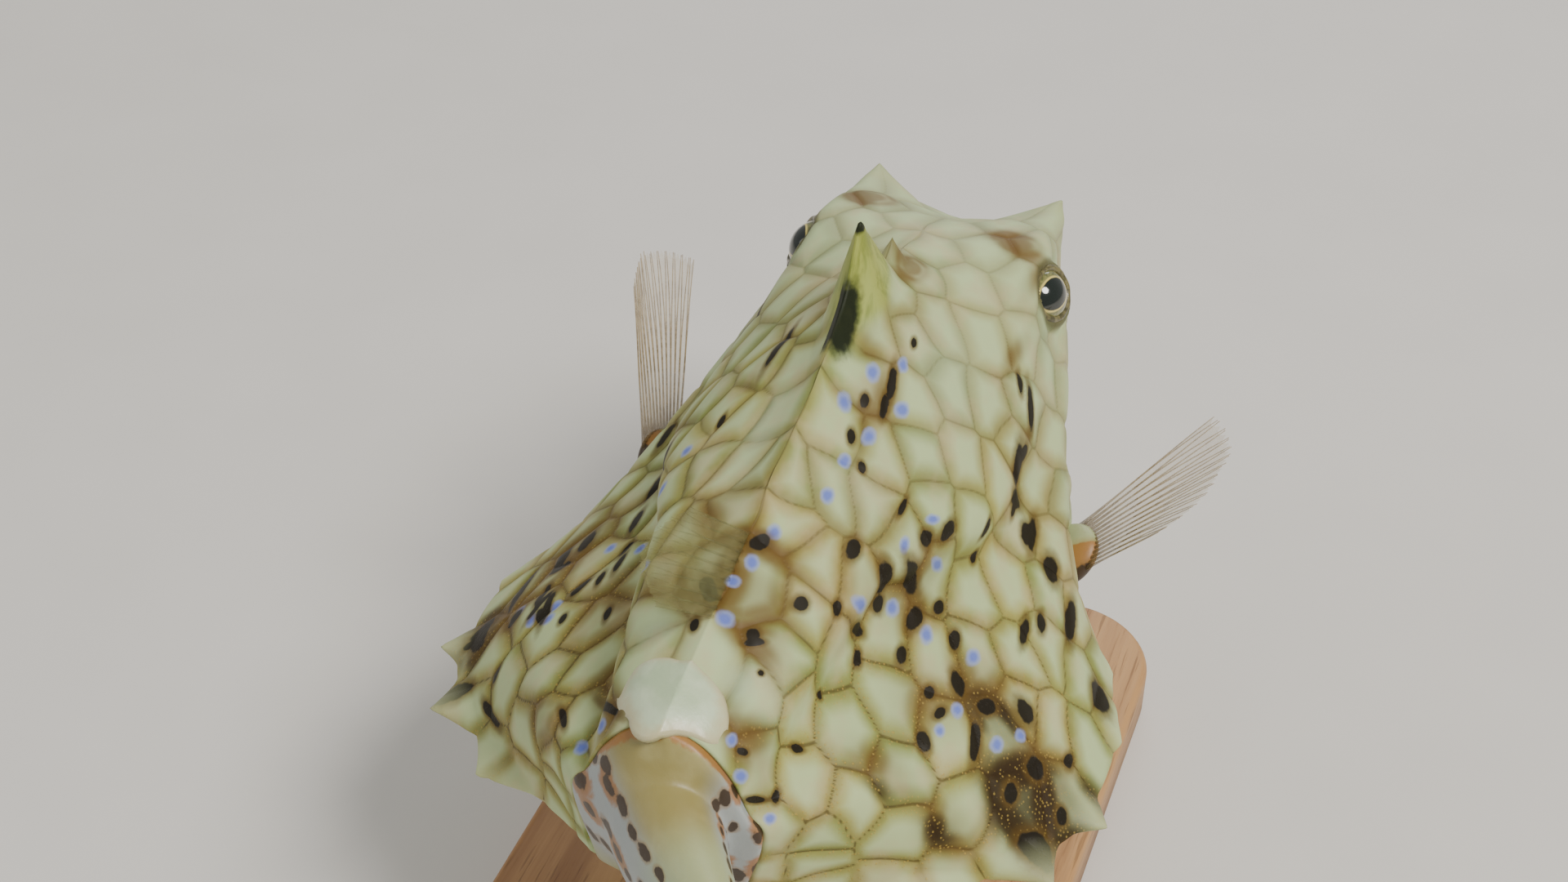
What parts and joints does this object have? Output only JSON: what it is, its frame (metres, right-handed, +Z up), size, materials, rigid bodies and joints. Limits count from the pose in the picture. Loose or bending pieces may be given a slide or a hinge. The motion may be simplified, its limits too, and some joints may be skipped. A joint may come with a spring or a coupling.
{
  "type": "humpback turretfish model on a display stand",
  "caption": "Life-size humpback turretfish, a boxfish with a plated triangular shell, back thorn and brow horns, swimming with its tail bent, on a flat wooden base.",
  "frame": {"origin": "centre of the stand base's underside, on the surface the model stands on", "axes": "+Z up, the fish faces -Y and its tail points to +Y, its left side is +X"},
  "size_m": [0.1116, 0.2252, 0.1245],
  "materials": {
    "skin": "satin bony plates, pale olive cream with brown borders and dark and pale-blue spots",
    "soft_skin": "satin soft skin, tan with blue-grey sides and dark spots",
    "spine": "satin, yellow-green with a dark blotch at its foot",
    "fin": "thin translucent amber membrane with brown rays",
    "eye": "glossy",
    "stand_wood": "satin oiled oak",
    "stand_steel": "satin"
  },
  "bodies": {
    "root": {"head": "skin", "torso": "skin", "mouth": "soft_skin", "tail_peduncle": "soft_skin", "dorsal_spine": "spine", "brow_spine_left": "skin", "brow_spine_right": "skin", "eye_left": "eye", "eye_right": "eye", "pectoral_fin_left": "fin", "pectoral_fin_right": "fin", "dorsal_fin": "fin", "anal_fin": "fin", "caudal_fin": "fin", "stand_base": "stand_wood", "stand_rod_front": "stand_steel", "stand_rod_rear": "stand_steel"}
  },
  "joints": []
}
